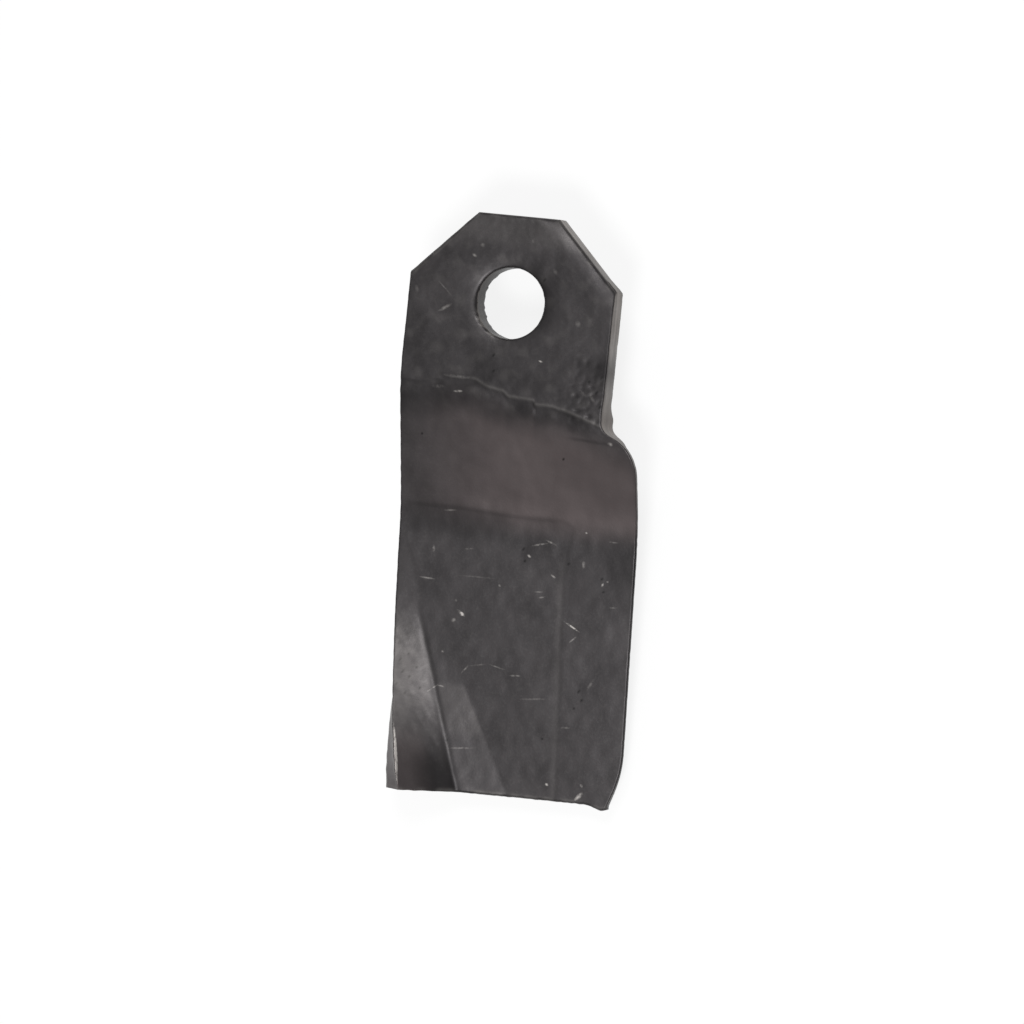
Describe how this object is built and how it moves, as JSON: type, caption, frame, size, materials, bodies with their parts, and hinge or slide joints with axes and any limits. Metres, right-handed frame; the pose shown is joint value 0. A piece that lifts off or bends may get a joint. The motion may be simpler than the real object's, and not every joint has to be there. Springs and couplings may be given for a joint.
{
  "type": "mulcher blade",
  "caption": "Forged mulcher blade with a cropped head and bolt hole, a cranked neck, a drawn-out cutting edge and a turned-up lower corner.",
  "frame": {"origin": "middle of the bolt hole, halfway through the head", "axes": "+Z along the bolt out of the front face of the head, +Y towards the end of the head, +X towards the cutting edge"},
  "size_m": [0.0706, 0.1655, 0.0323],
  "materials": {
    "forged_steel": "black forging scale, lightly oiled, with bare sheared edges"
  },
  "bodies": {
    "root": {"blade": "forged_steel"}
  },
  "joints": []
}
